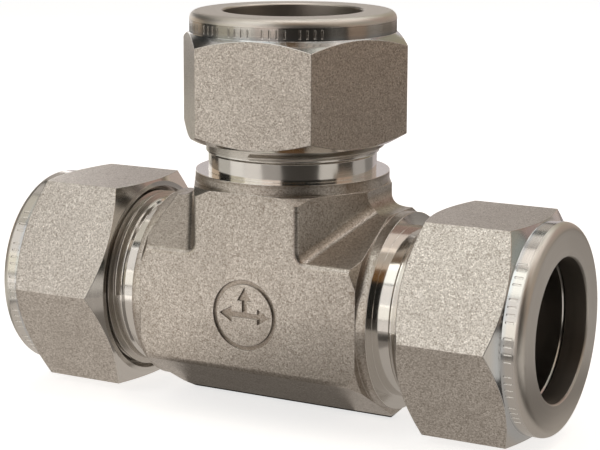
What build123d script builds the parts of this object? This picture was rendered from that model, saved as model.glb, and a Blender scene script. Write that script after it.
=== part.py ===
from build123d import *
import os

# Twin-ferrule union tee for 19.05 mm (3/4 in) tube. Millimetres.
# Origin: under the crossing of the three centrelines, at the height of the body's bottom ridge.
# +X runs along the run to the right-hand port, -Y is the front, +Z is the branch.
# Along a port every length is measured outward from the crossing of the centrelines.

os.makedirs("parts", exist_ok=True)

# ---- body forging ----
BODY_FLATS = 27.0
BODY_CORNER_R = 1.0
FORGE_END = 16.5
CORNER_BEVEL = 1.1
BOSS_R = 13.4
BOSS_END = 18.0
SADDLE_R = 2.5
VALLEY_R = 1.6

# ---- waterways and tube sockets ----
BORE_R = 7.85
TUBE_HOLE_R = 9.6
TUBE_STOP = 15.5

# ---- male end: neck, thread, mouth ----
NECK_R = 11.6
NECK_END = 20.4
NOSE = 31.9
NOSE_LIP = 0.2
MOUTH_R = 10.95
CONE_SLOPE = 0.2126

# ---- 1 inch, 20 to the inch thread ----
PITCH = 1.27
MALE_CREST_R = 12.66
MALE_ROOT_R = 11.92
MALE_CREST_W = 0.16
MALE_ROOT_W = 1.0
FEMALE_CREST_R = 12.02
FEMALE_ROOT_R = 12.76
FEMALE_CREST_W = 1.14
FEMALE_ROOT_W = 0.26
ROOT_OVERLAP = 0.12
MALE_START = 21.25
MALE_RUN = 11.5
FEMALE_START = MALE_START - 2 * PITCH
FEMALE_RUN = 14.3

# ---- nut ----
NUT_FLATS = 28.575
NUT_IN = 22.4
NUT_OUT = 39.9
NUT_FACE_R = 14.0
HEX_IN = 23.85
HEX_OUT = 35.65
COLLAR_R = 14.15
COLLAR_RIM = 1.1
NUT_MOUTH_R = 13.3
UNDERCUT_R = 12.85
UNDERCUT_IN = 32.5
CHAMBER_R = 11.5
CHAMBER_IN = 34.0
SHOULDER_TIP = 36.7
SHOULDER_SLOPE = 0.364
BORE_CHAMFER = 0.22
RUN_NUT_CLOCK = 0.0
BRANCH_NUT_CLOCK = -23.4

# ---- ferrules ----
SEAT_GAP = 0.06
FERRULE_NOSE_R = 9.9
FRONT_LENGTH = 6.2
FRONT_OUTER_R = 11.1
RECESS_R = 10.75
BACK_NOSE_R = 9.9
FLANGE_R = 11.25
FLANGE_GAP = 0.45
BACK_CHAMFER = 0.3

# ---- plain flow mark on the front flat ----
MARK_R = 4.85
MARK_LINE = 0.6
MARK_DEPTH = 0.35
ARROW_R = 1.25
ARROW_OUT = 2.6
STEM_W = 0.75
ARROWS = ((1, 0, 0), (0, 1, 90), (-1, 0, 180))

# ---- plain ticks round each collar ----
TICK_AT = 37.9
TICK_W = 0.24
TICK_H = 1.1
TICK_DEPTH = 0.1
TICK_FIRST = -48
TICK_STEP = 4
TICK_PLACES = 25
TICK_GAP_EVERY = 5

# ---- derived ----
RIDGE = BODY_FLATS / 3 ** 0.5 - BODY_CORNER_R * (2 / 3 ** 0.5 - 1)
CROSSING = Vector(0, 0, RIDGE)
MOUTH_CONE_IN = NOSE - (MOUTH_R - TUBE_HOLE_R) / CONE_SLOPE
HEX_TAN = 3 ** -0.5
ANGLE_TOL = 0.001
NUT_CORNER_R = NUT_FLATS * HEX_TAN
FRONT_NOSE = MOUTH_CONE_IN + (FERRULE_NOSE_R - TUBE_HOLE_R + SEAT_GAP) / CONE_SLOPE
FRONT_CONE_OUT = FRONT_NOSE + (FRONT_OUTER_R - FERRULE_NOSE_R) / CONE_SLOPE
FRONT_REAR = FRONT_NOSE + FRONT_LENGTH
RECESS_IN = FRONT_REAR - (RECESS_R - TUBE_HOLE_R)
BACK_NOSE = RECESS_IN + SEAT_GAP + BACK_NOSE_R - TUBE_HOLE_R
BACK_NECK_R = BACK_NOSE_R + FRONT_REAR - BACK_NOSE - SEAT_GAP


def port(direction):
    """Plane of one port: z runs outward, x points to the front."""
    return Plane(origin=CROSSING, x_dir=(0, -1, 0), z_dir=direction)


LEFT = port((-1, 0, 0))
RIGHT = port((1, 0, 0))
BRANCH = port((0, 0, 1))


def shoulder_at(radius):
    """Distance along the port of the nut's drive shoulder at a radius."""
    return SHOULDER_TIP - (radius - TUBE_HOLE_R) * SHOULDER_SLOPE


def is_diagonal(direction):
    """True for a direction that runs equally along the run and the branch."""
    return abs(abs(direction.X) - abs(direction.Z)) < ANGLE_TOL and abs(direction.X) > ANGLE_TOL


def is_outer_corner(edge):
    """True for a long corner of the run or branch hexagon, end faces left out."""
    along = edge % 0.5
    lengthwise = max(abs(along.X), abs(along.Z)) > 1 - ANGLE_TOL
    inside_ends = abs(edge.center().X) < FORGE_END - 1 and edge.center().Z < RIDGE + FORGE_END - 1
    return lengthwise and inside_ends


# ---- shared thread form ----
def thread_ridge(root_r, crest_r, root_w, crest_w, start_z, height):
    """Right-hand helical ridge about +Z."""
    depth = crest_r - root_r
    with BuildPart() as ridge:
        with BuildLine() as spine:
            Helix(pitch=PITCH, height=height, radius=root_r, center=(0, 0, start_z))
        with BuildSketch(Plane(origin=spine.line @ 0, x_dir=(1, 0, 0), z_dir=spine.line % 0)):
            with BuildLine():
                Polyline(
                    (0, -root_w / 2),
                    (depth, -crest_w / 2),
                    (depth, crest_w / 2),
                    (0, root_w / 2),
                    close=True,
                )
            make_face()
        sweep(is_frenet=True)
    return ridge.part


# ---- male end of the body, about +Z ----
def male_end():
    ridge = thread_ridge(
        MALE_ROOT_R - ROOT_OVERLAP,
        MALE_CREST_R,
        MALE_ROOT_W,
        MALE_CREST_W,
        MALE_START,
        MALE_RUN,
    )
    with BuildPart() as end:
        # neck, run-in ramp and thread root
        with BuildSketch(Plane.XZ):
            with BuildLine():
                Polyline(
                    (0, FORGE_END - 1),
                    (NECK_R, FORGE_END - 1),
                    (NECK_R, NECK_END),
                    (MALE_ROOT_R, NECK_END + MALE_ROOT_R - NECK_R),
                    (MALE_ROOT_R, NOSE + 1),
                    (0, NOSE + 1),
                    close=True,
                )
            make_face()
        revolve(axis=Axis.Z)
        add(ridge)
        # nose bevelled through the last threads
        with BuildSketch(Plane.XZ):
            with BuildLine():
                Polyline(
                    (0, FORGE_END - 2),
                    (BOSS_R, FORGE_END - 2),
                    (BOSS_R, NOSE - BOSS_R + MALE_ROOT_R - NOSE_LIP),
                    (MALE_ROOT_R - NOSE_LIP, NOSE),
                    (0, NOSE),
                    close=True,
                )
            make_face()
        revolve(axis=Axis.Z, mode=Mode.INTERSECT)
    return end.part


# ---- body ----
male = male_end()

with BuildPart() as tee_body:
    # run and branch: hexagons with flats front and back
    with BuildSketch(Plane(origin=CROSSING, x_dir=(0, 0, 1), z_dir=(1, 0, 0))):
        RegularPolygon(radius=BODY_FLATS / 2, side_count=6, major_radius=False)
    extrude(amount=FORGE_END, both=True)
    with BuildSketch(Plane(origin=CROSSING, x_dir=(1, 0, 0), z_dir=(0, 0, 1))):
        RegularPolygon(radius=BODY_FLATS / 2, side_count=6, major_radius=False)
    extrude(amount=FORGE_END)

    # rounded saddle between the branch and each side of the run
    with BuildSketch(Plane(origin=CROSSING, x_dir=(1, 0, 0), z_dir=(0, -1, 0))):
        with BuildLine():
            Line((BOSS_R, FORGE_END + 1), (BOSS_R, BOSS_R + SADDLE_R))
            RadiusArc(
                (BOSS_R, BOSS_R + SADDLE_R),
                (BOSS_R + SADDLE_R, BOSS_R),
                -SADDLE_R,
            )
            Line((BOSS_R + SADDLE_R, BOSS_R), (FORGE_END + 1, BOSS_R))
            Line((FORGE_END + 1, BOSS_R), (FORGE_END + 1, FORGE_END + 1))
            Line((FORGE_END + 1, FORGE_END + 1), (BOSS_R, FORGE_END + 1))
        make_face()
        mirror(about=Plane.YZ)
    extrude(amount=BODY_FLATS, both=True, mode=Mode.SUBTRACT)

    # forging radii: first the four valleys beside the branch, then the long outer corners
    straight = tee_body.edges().filter_by(GeomType.LINE)
    valleys = straight.filter_by(lambda e: is_diagonal(e % 0.5) and e.length > FORGE_END / 2)
    fillet(valleys, radius=VALLEY_R)
    straight = tee_body.edges().filter_by(GeomType.LINE)
    fillet(straight.filter_by(is_outer_corner), radius=BODY_CORNER_R)

    # bevelled forging corners at each end
    bevel_tip = BODY_FLATS * HEX_TAN
    for arm in (LEFT, RIGHT, BRANCH):
        with BuildSketch(Plane(origin=arm.origin, x_dir=arm.x_dir, z_dir=arm.y_dir)):
            with BuildLine():
                Polyline(
                    (bevel_tip - CORNER_BEVEL, -FORGE_END),
                    (bevel_tip + CORNER_BEVEL, -FORGE_END),
                    (bevel_tip + CORNER_BEVEL, -FORGE_END + 2 * CORNER_BEVEL),
                    close=True,
                )
            make_face()
        revolve(axis=Axis(arm.origin, arm.z_dir), mode=Mode.SUBTRACT)

    # turned bosses and threaded ends
    for arm in (LEFT, RIGHT, BRANCH):
        with BuildSketch(arm.offset(FORGE_END / 2)):
            Circle(BOSS_R)
        extrude(amount=BOSS_END - FORGE_END / 2)
    with Locations(LEFT, RIGHT, BRANCH):
        add(male)

    # waterway, tube stop, socket and ferrule mouth of each port
    for arm in (LEFT, RIGHT, BRANCH):
        with BuildSketch(Plane(origin=arm.origin, x_dir=arm.x_dir, z_dir=arm.y_dir)):
            with BuildLine():
                Polyline(
                    (0, 0),
                    (BORE_R, 0),
                    (BORE_R, -TUBE_STOP),
                    (TUBE_HOLE_R, -TUBE_STOP),
                    (TUBE_HOLE_R, -MOUTH_CONE_IN),
                    (MOUTH_R + CONE_SLOPE, -NOSE - 1),
                    (0, -NOSE - 1),
                    close=True,
                )
            make_face()
        revolve(axis=Axis(arm.origin, arm.z_dir), mode=Mode.SUBTRACT)

    # plain ring and three flow arrows, sunk in the front flat
    front_flat = Plane(origin=CROSSING + Vector(0, -BODY_FLATS / 2, 0), x_dir=(1, 0, 0), z_dir=(0, -1, 0))
    with BuildSketch(front_flat):
        Circle(MARK_R)
        Circle(MARK_R - MARK_LINE, mode=Mode.SUBTRACT)
        with Locations(*(Location((ARROW_OUT * x, ARROW_OUT * y), turn) for x, y, turn in ARROWS)):
            RegularPolygon(radius=ARROW_R, side_count=3)
        with Locations(*(Location((0, 0), turn) for x, y, turn in ARROWS)):
            Rectangle(ARROW_OUT, STEM_W, align=(Align.MIN, Align.CENTER))
    extrude(amount=-MARK_DEPTH, mode=Mode.SUBTRACT)

tee_body.part.label = "tee_body"
export_step(tee_body.part, "parts/tee_body.step")


# ---- nuts ----
def thread_cutter():
    """Tap for the nut: the minor cylinder with its helical groove, about +Z."""
    ridge = thread_ridge(
        FEMALE_CREST_R - ROOT_OVERLAP,
        FEMALE_ROOT_R,
        FEMALE_CREST_W,
        FEMALE_ROOT_W,
        FEMALE_START,
        FEMALE_RUN,
    )
    with BuildPart() as tap:
        with BuildSketch(Plane.XY.offset(FEMALE_START - FEMALE_CREST_W)):
            Circle(FEMALE_CREST_R)
        extrude(amount=FEMALE_RUN + 2 * FEMALE_CREST_W)
        add(ridge)
    return tap.part


def tick_places(arm):
    """Where the collar's ticks are cut; every fifth place is left plain."""
    at = Location(arm.offset(TICK_AT))
    steps = [i for i in range(TICK_PLACES) if i % TICK_GAP_EVERY != TICK_GAP_EVERY - 1]
    return [at * Rot(0, 0, TICK_FIRST + TICK_STEP * i) * Pos(COLLAR_R, 0, 0) for i in steps]


tap = thread_cutter()


def make_nut(name, arm, clock):
    side = Plane(origin=arm.origin, x_dir=arm.x_dir, z_dir=arm.y_dir)
    axis = Axis(arm.origin, arm.z_dir)
    collar_base = HEX_OUT + (NUT_CORNER_R - COLLAR_R) * HEX_TAN
    thread_clear_r = FEMALE_CREST_R - ROOT_OVERLAP
    with BuildPart() as nut:
        # hexagon, chamfered at both ends by one turned envelope
        with BuildSketch(arm.offset(NUT_IN)):
            RegularPolygon(NUT_FLATS / 2, 6, major_radius=False, rotation=clock)
        extrude(amount=collar_base - NUT_IN)
        with BuildSketch(side):
            with BuildLine():
                Polyline(
                    (0, -NUT_IN),
                    (NUT_FACE_R, -NUT_IN),
                    (NUT_CORNER_R + 1, -HEX_IN - HEX_TAN),
                    (NUT_CORNER_R + 1, -HEX_OUT + HEX_TAN),
                    (COLLAR_R, -collar_base),
                    (0, -collar_base),
                    close=True,
                )
            make_face()
        revolve(axis=axis, mode=Mode.INTERSECT)

        # turned collar with a rolled rim
        with BuildSketch(arm.offset(collar_base)):
            Circle(COLLAR_R)
        extrude(amount=NUT_OUT - collar_base)
        fillet(nut.faces().sort_by(axis)[-1].outer_wire().edges(), radius=COLLAR_RIM)

        # plain ticks, in groups of four
        with Locations(*tick_places(arm)):
            Box(2 * TICK_DEPTH, TICK_W, TICK_H, mode=Mode.SUBTRACT)

        # thread, then the turned inside: mouth, undercut, ferrule chamber, drive shoulder, bore
        with Locations(arm):
            add(tap, mode=Mode.SUBTRACT)
        with BuildSketch(side):
            with BuildLine():
                Polyline(
                    (0, -NUT_IN + 1),
                    (NUT_MOUTH_R + 1, -NUT_IN + 1),
                    (thread_clear_r, thread_clear_r - NUT_MOUTH_R - NUT_IN),
                    (thread_clear_r, -UNDERCUT_IN),
                    (UNDERCUT_R, -UNDERCUT_IN),
                    (UNDERCUT_R, -CHAMBER_IN),
                    (CHAMBER_R, -CHAMBER_IN),
                    (CHAMBER_R, -shoulder_at(CHAMBER_R)),
                    (TUBE_HOLE_R, -SHOULDER_TIP),
                    (TUBE_HOLE_R, -NUT_OUT + BORE_CHAMFER),
                    (TUBE_HOLE_R + 2 * BORE_CHAMFER, -NUT_OUT - BORE_CHAMFER),
                    (0, -NUT_OUT - BORE_CHAMFER),
                    close=True,
                )
            make_face()
        revolve(axis=axis, mode=Mode.SUBTRACT)
    nut.part.label = name
    export_step(nut.part, f"parts/{name}.step")


make_nut("nut_left", LEFT, RUN_NUT_CLOCK)
make_nut("nut_right", RIGHT, RUN_NUT_CLOCK)
make_nut("nut_branch", BRANCH, BRANCH_NUT_CLOCK)


# ---- ferrules ----
def make_front_ferrule(name, arm):
    side = Plane(origin=arm.origin, x_dir=arm.x_dir, z_dir=arm.y_dir)
    with BuildPart() as ferrule:
        with BuildSketch(side):
            with BuildLine():
                Polyline(
                    (TUBE_HOLE_R, -FRONT_NOSE),
                    (FERRULE_NOSE_R, -FRONT_NOSE),
                    (FRONT_OUTER_R, -FRONT_CONE_OUT),
                    (FRONT_OUTER_R, -FRONT_REAR),
                    (RECESS_R, -FRONT_REAR),
                    (TUBE_HOLE_R, -RECESS_IN),
                    close=True,
                )
            make_face()
        revolve(axis=Axis(arm.origin, arm.z_dir))
    ferrule.part.label = name
    export_step(ferrule.part, f"parts/{name}.step")


def make_back_ferrule(name, arm):
    side = Plane(origin=arm.origin, x_dir=arm.x_dir, z_dir=arm.y_dir)
    rear_in_r = TUBE_HOLE_R + BACK_CHAMFER
    rear_in = shoulder_at(rear_in_r) - SEAT_GAP
    rear_out = shoulder_at(FLANGE_R) - SEAT_GAP
    with BuildPart() as ferrule:
        with BuildSketch(side):
            with BuildLine():
                Polyline(
                    (TUBE_HOLE_R, -BACK_NOSE),
                    (BACK_NOSE_R, -BACK_NOSE),
                    (BACK_NECK_R, -FRONT_REAR + SEAT_GAP),
                    (BACK_NECK_R, -FRONT_REAR - FLANGE_GAP),
                    (FLANGE_R, -FRONT_REAR - FLANGE_GAP),
                    (FLANGE_R, -rear_out),
                    (rear_in_r, -rear_in),
                    (TUBE_HOLE_R, -rear_in + BACK_CHAMFER),
                    close=True,
                )
            make_face()
        revolve(axis=Axis(arm.origin, arm.z_dir))
    ferrule.part.label = name
    export_step(ferrule.part, f"parts/{name}.step")


for suffix, arm in (("left", LEFT), ("right", RIGHT), ("branch", BRANCH)):
    make_front_ferrule(f"front_ferrule_{suffix}", arm)
    make_back_ferrule(f"back_ferrule_{suffix}", arm)
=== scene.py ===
# %% [markdown]
# # A tube tee with three nuts
# The object is a stainless steel union tee: a forged body with three ports, and on each
# port a hexagon nut over two ferrules. The shapes come ready from the CAD model. Here they
# get their finishes, and then a floor, lights and a camera.

import math

import bpy
from mathutils import Matrix, Vector


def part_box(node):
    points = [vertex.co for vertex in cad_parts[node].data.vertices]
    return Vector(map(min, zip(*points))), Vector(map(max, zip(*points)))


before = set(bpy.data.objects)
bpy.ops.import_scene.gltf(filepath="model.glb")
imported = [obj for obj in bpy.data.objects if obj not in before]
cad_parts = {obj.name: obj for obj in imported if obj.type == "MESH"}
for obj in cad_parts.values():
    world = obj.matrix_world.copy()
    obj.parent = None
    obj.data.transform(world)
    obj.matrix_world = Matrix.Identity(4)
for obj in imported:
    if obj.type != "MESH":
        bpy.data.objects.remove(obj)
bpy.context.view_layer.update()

# %% [markdown]
# ## Where the three ports are
# The run's centreline is at the middle height of the right-hand nut, and the branch stands
# over the middle. Every turned surface is round about one of these lines, so the finishes
# need two numbers: how far out along a port a point is, and how far it is from the line.

# %% Centrelines
MM = 0.001
PORTS = {"left": Vector((-1, 0, 0)), "right": Vector((1, 0, 0)), "branch": Vector((0, 0, 1))}
nut_low, nut_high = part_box("nut_right")
CROSSING = Vector((0, 0, (nut_low.z + nut_high.z) / 2))
FORGING_END = 17.94 * MM
NECK_END = 20.9 * MM
INSIDE_R = 11.05 * MM
FRONT_FLAT = 13.5 * MM
MARK_REACH = 5.6 * MM
CLEAN_EDGE = 0.02 * MM
print("centrelines cross at", [round(1000 * c, 2) for c in CROSSING])

# %% [markdown]
# ## Small tools for building materials
# A material is a tree of nodes. These helpers add one node each and join it to sockets or
# plain numbers, so that a recipe reads from top to bottom like a sum.

# %% Node helpers
# places of the sockets in nodes that give several sockets one name
VECTOR_RESULT, NUMBER_RESULT = 0, 1
MIX_SHARE = 0
MIX_NUMBERS, MIXED_NUMBER = (2, 3), 0
MIX_COLOURS, MIXED_COLOUR = (6, 7), 2


def join(tree, value, socket):
    """Links a socket, or writes a plain value."""
    if isinstance(value, bpy.types.NodeSocket):
        tree.links.new(value, socket)
    else:
        socket.default_value = value


def calc(tree, operation, first, second=0.0):
    """One arithmetic node; returns its result socket."""
    node = tree.nodes.new("ShaderNodeMath")
    node.operation = operation
    join(tree, first, node.inputs[0])
    join(tree, second, node.inputs[1])
    return node.outputs[0]


def vector_calc(tree, operation, first, second=(0, 0, 0), output=VECTOR_RESULT):
    """One vector node; returns its vector, or its single number if asked."""
    node = tree.nodes.new("ShaderNodeVectorMath")
    node.operation = operation
    join(tree, first, node.inputs[0])
    join(tree, second, node.inputs[1])
    return node.outputs[output]


def step(tree, value, edge, softness):
    """0 below the edge and 1 above it, with a soft change between."""
    node = tree.nodes.new("ShaderNodeMapRange")
    node.interpolation_type = "SMOOTHSTEP"
    join(tree, value, node.inputs["Value"])
    node.inputs["From Min"].default_value = edge - softness
    node.inputs["From Max"].default_value = edge + softness
    return node.outputs["Result"]


def below(tree, value, edge, softness):
    """1 below the edge and 0 above it."""
    return calc(tree, "SUBTRACT", 1.0, step(tree, value, edge, softness))


def spread(tree, value, low, high):
    """Turns 0..1 into low..high."""
    node = tree.nodes.new("ShaderNodeMapRange")
    join(tree, value, node.inputs["Value"])
    node.inputs["To Min"].default_value = low
    node.inputs["To Max"].default_value = high
    return node.outputs["Result"]


def blend_numbers(tree, share, first, second):
    """First where share is 0, second where it is 1."""
    node = tree.nodes.new("ShaderNodeMix")
    join(tree, share, node.inputs[MIX_SHARE])
    join(tree, first, node.inputs[MIX_NUMBERS[0]])
    join(tree, second, node.inputs[MIX_NUMBERS[1]])
    return node.outputs[MIXED_NUMBER]


def blend_colours(tree, share, first, second):
    """The same for two colours."""
    node = tree.nodes.new("ShaderNodeMix")
    node.data_type = "RGBA"
    join(tree, share, node.inputs[MIX_SHARE])
    join(tree, first, node.inputs[MIX_COLOURS[0]])
    join(tree, second, node.inputs[MIX_COLOURS[1]])
    return node.outputs[MIXED_COLOUR]


# %% Pattern helpers
def noise(tree, where, grain, detail=2.0, roughness=0.5):
    """Cloudy pattern, with lumps of about the grain size in metres."""
    node = tree.nodes.new("ShaderNodeTexNoise")
    join(tree, where, node.inputs["Vector"])
    node.inputs["Scale"].default_value = 1 / grain
    node.inputs["Detail"].default_value = detail
    node.inputs["Roughness"].default_value = roughness
    return node.outputs["Fac"]


def crystals(tree, where, grain):
    """A random number for each of many tiny cells."""
    node = tree.nodes.new("ShaderNodeTexVoronoi")
    join(tree, where, node.inputs["Vector"])
    node.inputs["Scale"].default_value = 1 / grain
    parts = tree.nodes.new("ShaderNodeSeparateColor")
    join(tree, node.outputs["Color"], parts.inputs[0])
    return parts.outputs[0]


def shade(red, green, blue):
    """A colour with its alpha."""
    return (red, green, blue, 1.0)


# %% [markdown]
# ## Port coordinates in a material
# Object coordinates are the part's own metres, so a pattern made from them stays on the
# piece when it moves. One vector node drops the part along the centreline and leaves the
# distance from it.

# %% Distances along and from a centreline
def from_crossing(tree):
    """Position relative to where the centrelines cross."""
    coordinates = tree.nodes.new("ShaderNodeTexCoord")
    return coordinates.outputs["Object"], vector_calc(
        tree, "SUBTRACT", coordinates.outputs["Object"], CROSSING
    )


def port_distances(tree, offset, direction):
    """(along, away) of one port."""
    along = vector_calc(tree, "DOT_PRODUCT", offset, direction, output=NUMBER_RESULT)
    flat = vector_calc(tree, "MULTIPLY", offset, [1 - abs(c) for c in direction])
    return along, vector_calc(tree, "LENGTH", flat, output=NUMBER_RESULT)


def tee_distances(tree, offset):
    """(along, away) for whichever port of the body a point belongs to."""
    across, run_away = port_distances(tree, offset, PORTS["right"])
    run_along = calc(tree, "ABSOLUTE", across)
    up, branch_away = port_distances(tree, offset, PORTS["branch"])
    on_run = calc(tree, "GREATER_THAN", run_along, up)
    along = calc(tree, "MAXIMUM", run_along, up)
    return along, blend_numbers(tree, on_run, branch_away, run_away)


# %% [markdown]
# ## The two families of finish
# The forging and the nut's flats are blasted with fine grit, which leaves a soft grey-beige
# skin full of tiny pits. Necks, collars and bores are cut on a lathe, which leaves very fine
# rings. Each finish is a colour, a roughness and a height map; the height is in true metres,
# so the relief has a real size. The grit's pits are tiny cells of random tone over a soft
# cloudy pattern, and the glint of each tilted pit is painted into the colour as a bright speck.

# %% Blasted skin
BLAST_GRAIN = 0.17 * MM
BLAST_HEIGHT = 0.022 * MM
# The light colour is also the colour of the painted glint in the bright specks.
BLAST_LIGHT = shade(0.88, 0.84, 0.79)
BLAST_DARK = shade(0.25, 0.215, 0.18)
# Brown of the forge scale; the same brown is used for painted shade in the valleys, on the
# shoulders and in the pressed mark.
SCALE_AND_SHADE_BROWN = shade(0.20, 0.155, 0.115)


BLAST_ROUGH = (0.36, 0.26)
SPECK_EDGE, SPECK_SOFTNESS = 0.5, 0.2
CLOUD_SIZE = 4 * MM
CLOUD_STAIN = 0.12
CLOUD_ROUGH = 0.03


def blasted(tree, where):
    """Colour, roughness and height of the blasted skin."""
    pits = noise(tree, where, BLAST_GRAIN, detail=3.0, roughness=0.65)
    # Painted glint: bright specks in the colour stand for pits that catch the light; the small
    # cells add random tone.
    painted_glints = step(tree, pits, SPECK_EDGE, SPECK_SOFTNESS)
    grain_and_painted_glint = calc(tree, "ADD", crystals(tree, where, BLAST_GRAIN), painted_glints)
    grain_and_painted_glint = calc(tree, "MULTIPLY", grain_and_painted_glint, 0.5)
    clouds = noise(tree, where, CLOUD_SIZE, detail=3.0)
    colour = blend_colours(tree, grain_and_painted_glint, BLAST_DARK, BLAST_LIGHT)
    stain = spread(tree, step(tree, clouds, SPECK_EDGE, SPECK_SOFTNESS), 0.0, CLOUD_STAIN)
    colour = blend_colours(tree, stain, colour, BLAST_DARK)
    rough = spread(tree, grain_and_painted_glint, *BLAST_ROUGH)
    rough = calc(tree, "ADD", rough, spread(tree, clouds, -CLOUD_ROUGH, CLOUD_ROUGH))
    height = calc(tree, "MULTIPLY", pits, BLAST_HEIGHT)
    return {"colour": colour, "rough": rough, "height": height}


# %% Turned surface
FINE_RINGS = 0.11 * MM
BROAD_RINGS = 0.9 * MM


def turned(tree, along, away, cut):
    """Fine rings round the port, made from the two distances only, so they close on themselves."""
    bright, dull, rough_range, depth = cut
    rings = tree.nodes.new("ShaderNodeCombineXYZ")
    join(tree, along, rings.inputs[0])
    join(tree, away, rings.inputs[1])
    fine = noise(tree, rings.outputs[0], FINE_RINGS)
    broad = noise(tree, rings.outputs[0], BROAD_RINGS)
    colour = blend_colours(tree, broad, dull, bright)
    rough = spread(tree, fine, *rough_range)
    height = calc(tree, "MULTIPLY", fine, depth)
    return {"colour": colour, "rough": rough, "height": height}


def mix_finish(tree, share, first, second):
    """The first finish where share is 0, the second where it is 1."""
    return {
        "colour": blend_colours(tree, share, first["colour"], second["colour"]),
        "rough": blend_numbers(tree, share, first["rough"], second["rough"]),
        "height": blend_numbers(tree, share, first["height"], second["height"]),
    }


# %% Kinds of turned surface
# bright colour, dull colour, range of roughness, depth of the rings
NECK_CUT = (shade(0.72, 0.70, 0.67), shade(0.66, 0.64, 0.61), (0.08, 0.16), 0.0006 * MM)
THREAD_CUT = (shade(0.62, 0.59, 0.55), shade(0.50, 0.47, 0.43), (0.22, 0.34), 0.002 * MM)
BORE_CUT = (shade(0.50, 0.47, 0.43), shade(0.38, 0.35, 0.32), (0.28, 0.42), 0.004 * MM)
SATIN_CUT = (shade(0.70, 0.68, 0.65), shade(0.60, 0.58, 0.55), (0.11, 0.20), 0.0012 * MM)
FACE_CUT = (shade(0.68, 0.65, 0.61), shade(0.58, 0.55, 0.51), (0.34, 0.44), 0.004 * MM)
FERRULE_CUT = (shade(0.74, 0.73, 0.70), shade(0.64, 0.62, 0.60), (0.14, 0.24), 0.001 * MM)

# %% [markdown]
# ## Worn edges
# A handled fitting is a little brighter and smoother on its sharp edges. The Bevel node
# gives the normal that a slightly rounded edge would have; where it leans away from the true
# normal there is an edge. The same node rounds the highlight there.

# %% Edge wear and the finished shader
WORN_COLOUR = shade(0.80, 0.78, 0.75)
WORN_LEAN, WORN_SOFTNESS = 0.06, 0.06
WORN_BRIGHTER, WORN_SMOOTHER = 0.5, 0.1
BEVEL_SAMPLES = 6
EDGE_R = 0.12 * MM
FERRULE_EDGE_R = 0.06 * MM


def finish_shader(tree, finish, edge_radius):
    """Joins a finish to the metal shader, with worn edges."""
    metal = tree.nodes["Principled BSDF"]
    metal.inputs["Metallic"].default_value = 1.0
    rounded = tree.nodes.new("ShaderNodeBevel")
    rounded.samples = BEVEL_SAMPLES
    rounded.inputs["Radius"].default_value = edge_radius
    surface = tree.nodes.new("ShaderNodeNewGeometry")
    lean = vector_calc(
        tree, "DOT_PRODUCT", rounded.outputs[0], surface.outputs["Normal"], output=NUMBER_RESULT
    )
    wear = step(tree, calc(tree, "SUBTRACT", 1.0, lean), WORN_LEAN, WORN_SOFTNESS)
    brighter = calc(tree, "MULTIPLY", wear, WORN_BRIGHTER)
    colour = blend_colours(tree, brighter, finish["colour"], WORN_COLOUR)
    smoother = calc(tree, "MULTIPLY", wear, WORN_SMOOTHER)
    rough = calc(tree, "SUBTRACT", finish["rough"], smoother)
    bump = tree.nodes.new("ShaderNodeBump")
    bump.inputs["Distance"].default_value = 1.0
    bump.inputs["Strength"].default_value = 1.0
    join(tree, finish["height"], bump.inputs["Height"])
    join(tree, rounded.outputs[0], bump.inputs["Normal"])
    join(tree, colour, metal.inputs["Base Color"])
    join(tree, rough, metal.inputs["Roughness"])
    join(tree, bump.outputs[0], metal.inputs["Normal"])


def new_material(name):
    """An empty node material."""
    material = bpy.data.materials.new(name)
    material.use_nodes = True
    return material


def dress(node, material):
    """Gives a CAD node its finish."""
    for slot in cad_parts[node].material_slots:
        slot.material = material
    print(node, "wears", material.name)


# %% [markdown]
# ## The body
# The forging and its round bosses are blasted. Brown scale from the forge is left in patches
# near the ends, with a faint brown tint everywhere. The valleys beside the branch, the bosses'
# shoulders and the floor of the pressed mark get painted shade in the same brown. Beyond the
# bosses the neck and the thread are turned, and the neck is almost a mirror. The waterway is
# drilled and bored.
# Each zone could have a material of its own, but the borders are plain distances along and
# from a port, so one material tells them apart.

# %% Brown scale and painted shade on the forging
MARK_DEPTH_LIMIT, MARK_SOFTNESS = 0.1 * MM, 0.06 * MM
# Share of painted shade on the floor of the pressed mark.
MARK_SHADE = 0.6
VALLEY_WIDTH, VALLEY_SOFTNESS = 1.2 * MM, 1.1 * MM
VALLEY_FOOT = 13.7 * MM
SHOULDER_WIDTH = 0.5 * MM
LUMP_SIZE = 1.6 * MM
PATCH_EDGE, PATCH_SOFTNESS = 0.64, 0.10
PATCH_START, PATCH_RAMP = 14 * MM, 3 * MM
SCALE_AND_SHADE_RANGE = (0.25, 0.75)
SCALE_EVERYWHERE = 0.20


def pressed_mark(tree, offset):
    """1 on the floor of the mark that is pressed into the front flat."""
    forward = vector_calc(tree, "DOT_PRODUCT", offset, (0, -1, 0), output=NUMBER_RESULT)
    sunk = below(tree, forward, FRONT_FLAT - MARK_DEPTH_LIMIT, MARK_SOFTNESS)
    in_front = step(tree, forward, FRONT_FLAT - 1 * MM, 0.2 * MM)
    _, away = port_distances(tree, offset, (0, -1, 0))
    near = below(tree, away, MARK_REACH, 0.1 * MM)
    return calc(tree, "MULTIPLY", calc(tree, "MULTIPLY", sunk, in_front), near)


# The mask for the painted shade in the valleys beside the branch.
def valley_beside_branch(tree, offset):
    """1 in the corner where the run and the branch meet, at equal distances along both."""
    across, _ = port_distances(tree, offset, PORTS["right"])
    up, _ = port_distances(tree, offset, PORTS["branch"])
    difference = calc(tree, "SUBTRACT", calc(tree, "ABSOLUTE", across), up)
    valley = below(tree, calc(tree, "ABSOLUTE", difference), VALLEY_WIDTH, VALLEY_SOFTNESS)
    return calc(tree, "MULTIPLY", valley, step(tree, up, VALLEY_FOOT, 0.5 * MM))


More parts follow.
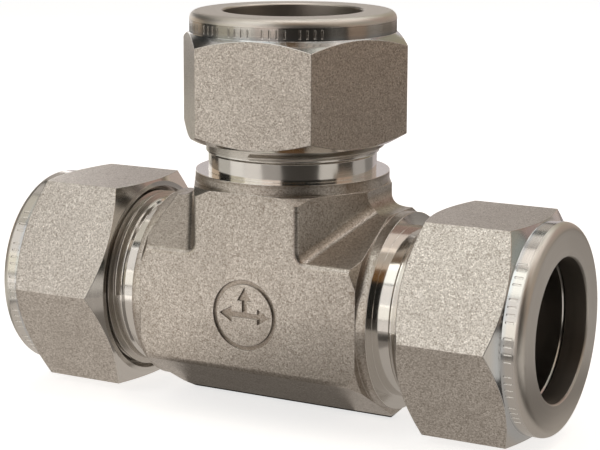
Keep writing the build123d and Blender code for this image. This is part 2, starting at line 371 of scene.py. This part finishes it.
def forging_scale_and_shade(tree, where, offset, along, skin):
    """The blasted skin with brown scale in patches, and painted shade in the valleys, on the
    shoulders and in the pressed mark.
    """
    # Painted shade: the valleys beside the branch and a band along each boss's shoulder are
    # darkened toward the brown; the patches near the ends are scale.
    valley = valley_beside_branch(tree, offset)
    shoulder = step(tree, along, FORGING_END - SHOULDER_WIDTH, SHOULDER_WIDTH)
    lumps = noise(tree, where, LUMP_SIZE, detail=4.0)
    patches = step(tree, lumps, PATCH_EDGE, PATCH_SOFTNESS)
    patches = calc(tree, "MULTIPLY", patches, step(tree, along, PATCH_START, PATCH_RAMP))
    share = calc(tree, "MAXIMUM", calc(tree, "MAXIMUM", valley, shoulder), patches)
    share = calc(tree, "MULTIPLY", share, spread(tree, lumps, *SCALE_AND_SHADE_RANGE))
    share = calc(tree, "MAXIMUM", share, SCALE_EVERYWHERE)
    # Painted shade darkens the floor of the pressed mark.
    mark = calc(tree, "MULTIPLY", pressed_mark(tree, offset), MARK_SHADE)
    share = calc(tree, "MAXIMUM", share, mark)
    colour = blend_colours(tree, share, skin["colour"], SCALE_AND_SHADE_BROWN)
    return {"colour": colour, "rough": skin["rough"], "height": skin["height"]}


# %% Body finish
def body_metal():
    """Blasted forging with brown scale and painted shade, then neck, thread and waterway by
    distance.
    """
    material = new_material("forged_body")
    tree = material.node_tree
    where, offset = from_crossing(tree)
    along, away = tee_distances(tree, offset)
    skin = forging_scale_and_shade(tree, where, offset, along, blasted(tree, where))
    neck = turned(tree, along, away, NECK_CUT)
    thread = turned(tree, along, away, THREAD_CUT)
    bore = turned(tree, along, away, BORE_CUT)
    finish = mix_finish(tree, step(tree, along, FORGING_END, CLEAN_EDGE), skin, neck)
    finish = mix_finish(tree, step(tree, along, NECK_END, 0.05 * MM), finish, thread)
    finish = mix_finish(tree, below(tree, away, INSIDE_R, CLEAN_EDGE), finish, bore)
    finish_shader(tree, finish, EDGE_R)
    return material


dress("tee_body", body_metal())

# %% [markdown]
# ## The nuts
# The six flats are blasted like the forging. The chamfers at both ends and the collar are
# turned to a satin, and the rolled rim and the end face are a little duller. The flats are
# told from the cones by two sloping limits, the same slope as the chamfers. They could be
# picked out face by face, but the CAD mesh is left as it is, and the limits are exact. Where
# the tool turned into the collar's root, the heat left a faint blue on the steel.

# %% Nut finish
COLLAR_R = 14.16 * MM
CHAMFER_SLOPE = 3**-0.5
OUTER_LIMIT = 45.13 * MM
INNER_LIMIT = 14.34 * MM
RIM_START = 38.8 * MM
COLLAR_ROOT = 36.9 * MM
TUBE_HOLE_R = 9.7 * MM
HEAT_BLUE = shade(0.52, 0.60, 0.68)
HEAT_WIDTH, HEAT_SOFTNESS = 0.5 * MM, 0.4 * MM
HEAT_SHARE = 0.45


def nut_outside(tree, along, away):
    """The satin collar, blue at its root, and the matt rim and end face."""
    satin = turned(tree, along, away, SATIN_CUT)
    from_root = calc(tree, "ABSOLUTE", calc(tree, "SUBTRACT", along, COLLAR_ROOT))
    heat = below(tree, from_root, HEAT_WIDTH, HEAT_SOFTNESS)
    heat = calc(tree, "MULTIPLY", heat, HEAT_SHARE)
    satin["colour"] = blend_colours(tree, heat, satin["colour"], HEAT_BLUE)
    face = turned(tree, along, away, FACE_CUT)
    return mix_finish(tree, step(tree, along, RIM_START, 0.15 * MM), satin, face)


def on_flats(tree, along, away):
    """1 on the six flats, 0 on the chamfers and the collar."""
    slope = calc(tree, "MULTIPLY", away, CHAMFER_SLOPE)
    before_outer = below(tree, calc(tree, "ADD", along, slope), OUTER_LIMIT, CLEAN_EDGE)
    past_inner = step(tree, calc(tree, "SUBTRACT", along, slope), INNER_LIMIT, CLEAN_EDGE)
    outside = step(tree, away, COLLAR_R, 0.005 * MM)
    return calc(tree, "MULTIPLY", calc(tree, "MULTIPLY", before_outer, past_inner), outside)


def nut_metal(name, direction):
    """Blasted flats, turned outside and bored inside."""
    material = new_material(f"nut_steel_{name}")
    tree = material.node_tree
    where, offset = from_crossing(tree)
    along, away = port_distances(tree, offset, direction)
    finish = nut_outside(tree, along, away)
    finish = mix_finish(tree, on_flats(tree, along, away), finish, blasted(tree, where))
    bore = turned(tree, along, away, BORE_CUT)
    finish = mix_finish(tree, below(tree, away, TUBE_HOLE_R, CLEAN_EDGE), finish, bore)
    finish_shader(tree, finish, EDGE_R)
    return material


for port, direction in PORTS.items():
    dress(f"nut_{port}", nut_metal(port, direction))

# %% [markdown]
# ## The ferrules
# Two short rings in each port, turned bright all over. Only their bores show, deep inside.
# They could be plain grey, but light reaches them through the open ends, so they get the same
# rings as the necks.

# %% Ferrule finish
def ferrule_metal(name, direction):
    """Bright turned rings all over."""
    material = new_material(f"ferrule_steel_{name}")
    tree = material.node_tree
    _, offset = from_crossing(tree)
    along, away = port_distances(tree, offset, direction)
    finish_shader(tree, turned(tree, along, away, FERRULE_CUT), FERRULE_EDGE_R)
    return material


for port, direction in PORTS.items():
    metal = ferrule_metal(port, direction)
    dress(f"front_ferrule_{port}", metal)
    dress(f"back_ferrule_{port}", metal)

# %% [markdown]
# ## The floor
# A plain pale table, very slightly mottled. Seen directly it is lit from below and stays
# white into the distance. In the steel's reflections it is dark, because there the lit cards
# on it do the work.

# %% Floor
FLOOR_SIZE = 12
FLOOR_DROP = 0.00002
FLOOR_PALE, FLOOR_PALER = shade(0.78, 0.78, 0.78), shade(0.82, 0.82, 0.82)
FLOOR_REFLECTED = shade(0.09, 0.087, 0.084)
MOTTLE_SIZE = 0.4
OWN_LIGHT_NEAR, OWN_LIGHT_FAR = 0.7, 1.0
OWN_LIGHT_RADIUS, OWN_LIGHT_SOFTNESS = 0.6, 0.4

bpy.ops.object.select_all(action="DESELECT")
bpy.ops.mesh.primitive_plane_add(size=FLOOR_SIZE, location=(0, 0, -FLOOR_DROP))
floor = bpy.context.object
floor.name = "floor"
table_top = new_material("pale_table")
tree = table_top.node_tree
paint = tree.nodes["Principled BSDF"]
coordinates = tree.nodes.new("ShaderNodeTexCoord").outputs["Object"]
by_camera = tree.nodes.new("ShaderNodeLightPath").outputs["Is Camera Ray"]
seen = blend_colours(tree, noise(tree, coordinates, MOTTLE_SIZE), FLOOR_PALE, FLOOR_PALER)
join(tree, blend_colours(tree, by_camera, FLOOR_REFLECTED, seen), paint.inputs["Base Color"])
paint.inputs["Roughness"].default_value = 0.9
paint.inputs["Specular IOR Level"].default_value = 0.1
paint.inputs["Emission Color"].default_value = shade(1, 1, 1)
distance = vector_calc(tree, "LENGTH", coordinates, output=NUMBER_RESULT)
own_light = step(tree, distance, OWN_LIGHT_RADIUS, OWN_LIGHT_SOFTNESS)
own_light = spread(tree, own_light, OWN_LIGHT_NEAR, OWN_LIGHT_FAR)
join(tree, calc(tree, "MULTIPLY", by_camera, own_light), paint.inputs["Emission Strength"])
floor.data.materials.append(table_top)

# %% [markdown]
# ## Studio light
# Polished steel looks like whatever stands round it. A studio tent for metalware is made of
# many soft panels with dark gaps: the front left, the top and the high back are bright, and
# the low side where the camera stands is dark. It could be one big dome of light, but separate
# panels can each be dimmed until every flat has its own tone. Each row below is one ring of
# panels at one height, all facing the crossing.

# %% Lights
LIGHT_DISTANCE = 0.55
PANEL_HEIGHT = 0.255
# elevation, panel width, then each panel's azimuth and its watts of red, green and blue
PANEL_RINGS = [
    ("low", 3, 0.251, [
        (-180, (0.11, 0.09, 0.08)),
        (-154, (0.12, 0.11, 0.11)),
        (-129, (0.26, 0.25, 0.24)),
        (-103, (0.15, 0.12, 0.09)),
        (-51, (0.14, 0.13, 0.1)),
        (-26, (0.25, 0.24, 0.22)),
        (0, (0.23, 0.2, 0.18)),
        (103, (0.11, 0.08, 0.06)),
        (129, (0.09, 0.08, 0.07)),
        (154, (0.07, 0.06, 0.05)),
    ]),
    ("middle", 28, 0.285, [
        (-180, (0.08, 0.07, 0.05)),
        (-147, (0.11, 0.1, 0.09)),
        (-49, (0.22, 0.21, 0.2)),
        (-16, (0.24, 0.23, 0.22)),
        (82, (0.12, 0.1, 0.08)),
        (115, (0.08, 0.08, 0.07)),
        (147, (0.1, 0.07, 0.06)),
    ]),
    ("high", 55, 0.304, [
        (-180, (0.27, 0.27, 0.25)),
        (-129, (0.15, 0.14, 0.13)),
        (-77, (0.17, 0.16, 0.14)),
        (-26, (0.36, 0.36, 0.34)),
        (26, (0.06, 0.03, 0.01)),
        (77, (0.19, 0.17, 0.15)),
        (129, (0.29, 0.26, 0.24)),
    ]),
    ("top", 90, 0.350, [
        (0, (0.47, 0.44, 0.41)),
    ]),
]
CARD_REACH = 0.21
CARD_WIDTH, CARD_LENGTH = 0.095, 0.30
# azimuth of each card on the table, and its watts
CARDS = [
    (-180, (0.04, 0.036, 0.036)),
    (-129, (0.047, 0.044, 0.038)),
    (-77, (0.047, 0.045, 0.041)),
    (-51, (0.08, 0.077, 0.073)),
    (-26, (0.073, 0.069, 0.065)),
    (0, (0.03, 0.028, 0.026)),
    (77, (0.055, 0.052, 0.048)),
    (129, (0.035, 0.033, 0.031)),
    (154, (0.016, 0.015, 0.014)),
]
# across, forward, width, length and watts of each lit patch close to the part
GLOWS = [
    (-0.034, 0.0, 0.035, 0.10, (0.0062, 0.0057, 0.0052)),
    (-0.003, 0.0, 0.027, 0.07, (0.0010, 0.0009, 0.0008)),
    (0.028, 0.0, 0.035, 0.10, (0.0048, 0.0044, 0.0040)),
    (-0.020, 0.062, 0.050, 0.03, (0.0026, 0.0024, 0.0022)),
]
CARD_CLEARANCE = 0.0005


def outward(azimuth, elevation):
    """Unit vector; azimuth 0 is the front and 90 the right."""
    turn, lift = math.radians(azimuth), math.radians(elevation)
    return Vector(
        (math.sin(turn) * math.cos(lift), -math.cos(turn) * math.cos(lift), math.sin(lift))
    )


def soft_light(name, shape, width, height, watts):
    """A flat soft light at the origin that shines down its own -Z."""
    lamp = bpy.data.lights.new(name, "AREA")
    lamp.shape = shape
    lamp.size, lamp.size_y = width, height
    lamp.energy = max(watts)
    lamp.color = [channel / max(watts) for channel in watts]
    light = bpy.data.objects.new(name, lamp)
    bpy.context.scene.collection.objects.link(light)
    return light


for ring, elevation, width, panels in PANEL_RINGS:
    for azimuth, watts in panels:
        panel = soft_light(f"{ring}_panel", "RECTANGLE", width, PANEL_HEIGHT, watts)
        toward = outward(azimuth, elevation)
        panel.location = CROSSING + toward * LIGHT_DISTANCE
        panel.rotation_euler = toward.to_track_quat("Z", "Y").to_euler()
    print(ring, "ring:", len(panels), "panels,", round(sum(max(w) for _, w in panels), 2), "W")

# %% [markdown]
# ## Cards on the table
# Cards that lie on the table throw light up from below. They stand round the part with a
# gap toward the camera, which is what draws the dark rectangle on each mirror-like neck. Four
# small lit patches close to the part brighten the undersides of the nuts.

# %% Cards on the table
for azimuth, watts in CARDS:
    card = soft_light("card", "RECTANGLE", CARD_WIDTH, CARD_LENGTH, watts)
    card.location = outward(azimuth, 0) * CARD_REACH + Vector((0, 0, CARD_CLEARANCE))
    card.rotation_euler = (math.pi, 0, math.radians(azimuth))
    card.visible_camera = False
for across, forward, width, length, watts in GLOWS:
    glow = soft_light("glow", "RECTANGLE", width, length, watts)
    glow.location = (across, -forward, CARD_CLEARANCE)
    glow.rotation_euler = (math.pi, 0, 0)
    glow.visible_camera = False
print(len(CARDS), "cards and", len(GLOWS), "lit patches close to the part")

# %% [markdown]
# ## Room light
# A little even light stands for the rest of the room. Seen directly, the room is white.

# %% Room light
ROOM = (0.02, 0.02, 0.018)
world = bpy.data.worlds.new("studio")
bpy.context.scene.world = world
world.use_nodes = True
tree = world.node_tree
backdrop = tree.nodes["Background"]
by_camera = tree.nodes.new("ShaderNodeLightPath").outputs["Is Camera Ray"]
join(
    tree,
    blend_colours(tree, by_camera, shade(*ROOM), shade(1, 1, 1)),
    backdrop.inputs["Color"],
)
bpy.context.scene.view_settings.view_transform = "Standard"

# %% [markdown]
# ## The camera
# A long lens from the right of the front, a little above the part, so the branch's front
# and both run nuts show.

# %% Camera
CAMERA_AZIMUTH, CAMERA_ELEVATION, CAMERA_ROLL = 29.652, 10.606, -0.084
CAMERA_DISTANCE = 264.861 * MM
CAMERA_RIGHT, CAMERA_UP = -5.65 * MM, 15.427 * MM
SENSOR_WIDTH = 36
FOCAL_PER_WIDTH = 1892.494 / 600
SHIFT_RIGHT, SHIFT_UP = 0.0805, -0.0678
NEAREST, FARTHEST = 0.01, 20

back = outward(CAMERA_AZIMUTH, CAMERA_ELEVATION)
turn = math.radians(CAMERA_AZIMUTH)
right = Vector((math.cos(turn), math.sin(turn), 0))
up = back.cross(right)
lens = bpy.data.cameras.new("camera")
lens.sensor_width = SENSOR_WIDTH
lens.lens = SENSOR_WIDTH * FOCAL_PER_WIDTH
lens.shift_x, lens.shift_y = SHIFT_RIGHT, SHIFT_UP
lens.clip_start, lens.clip_end = NEAREST, FARTHEST
camera = bpy.data.objects.new("camera", lens)
bpy.context.scene.collection.objects.link(camera)
bpy.context.scene.camera = camera
place = CROSSING + back * CAMERA_DISTANCE + right * CAMERA_RIGHT + up * CAMERA_UP
aim = Matrix((right, up, back)).transposed().to_4x4()
roll = Matrix.Rotation(math.radians(CAMERA_ROLL), 4, "Z")
camera.matrix_world = Matrix.Translation(place) @ aim @ roll
print("camera at", [round(c, 4) for c in camera.matrix_world.translation])
